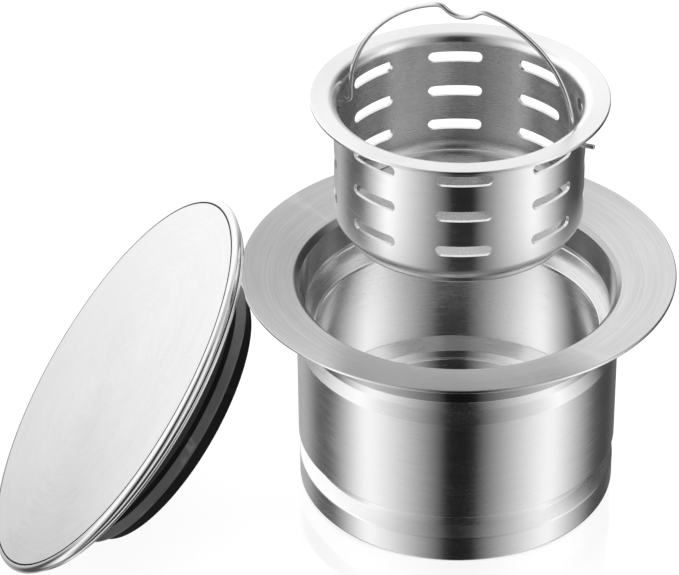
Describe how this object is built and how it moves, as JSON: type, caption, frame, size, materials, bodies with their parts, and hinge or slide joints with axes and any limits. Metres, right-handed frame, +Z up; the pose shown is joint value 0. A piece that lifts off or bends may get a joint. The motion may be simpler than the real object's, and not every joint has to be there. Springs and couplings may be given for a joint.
{
  "type": "garbage disposal sink flange set",
  "caption": "Sink drain kit for a garbage disposal: long flanged steel sleeve, slotted strainer basket with wire bail handle, and domed rubber-sealed stopper.",
  "frame": {"origin": "on the sleeve's axis, in the plane of the sleeve's bottom end, which stands on the floor", "axes": "+Z up the sleeve to its flange; the stopper leans on the flange's -X side; -Y is the front"},
  "size_m": [0.1809, 0.1334, 0.1419],
  "materials": {
    "brushed_stainless": "fine brushed",
    "polished_stainless": "polished",
    "black_plastic": "satin",
    "black_rubber": "matt"
  },
  "bodies": {
    "sleeve": {"sink_sleeve": "brushed_stainless", "basket_seat_ring": "polished_stainless"},
    "basket": {"strainer_basket": "polished_stainless"},
    "bail": {"bail_handle": "polished_stainless"},
    "stopper": {"stopper_cap": "brushed_stainless", "stopper_plate": "polished_stainless", "stopper_hub": "black_plastic", "stopper_seal": "black_rubber", "stopper_washer": "polished_stainless", "stopper_nut": "polished_stainless"}
  },
  "joints": [
    {"name": "basket_lift", "type": "slide", "parent": "sleeve", "child": "basket", "axis": [0, 0, 1], "range_m": [-0.0684, 0.03]},
    {"name": "bail_swing", "type": "hinge", "parent": "basket", "child": "bail", "pos_m": [0, 0, 0.1089], "axis": [0.9239, -0.3827, 0], "range_deg": [-60, 60]},
    {"name": "stopper_lift", "type": "slide", "parent": "sleeve", "child": "stopper", "axis": [-0.7911, -0.0442, 0.6101], "range_m": [0, 0.1]}
  ]
}
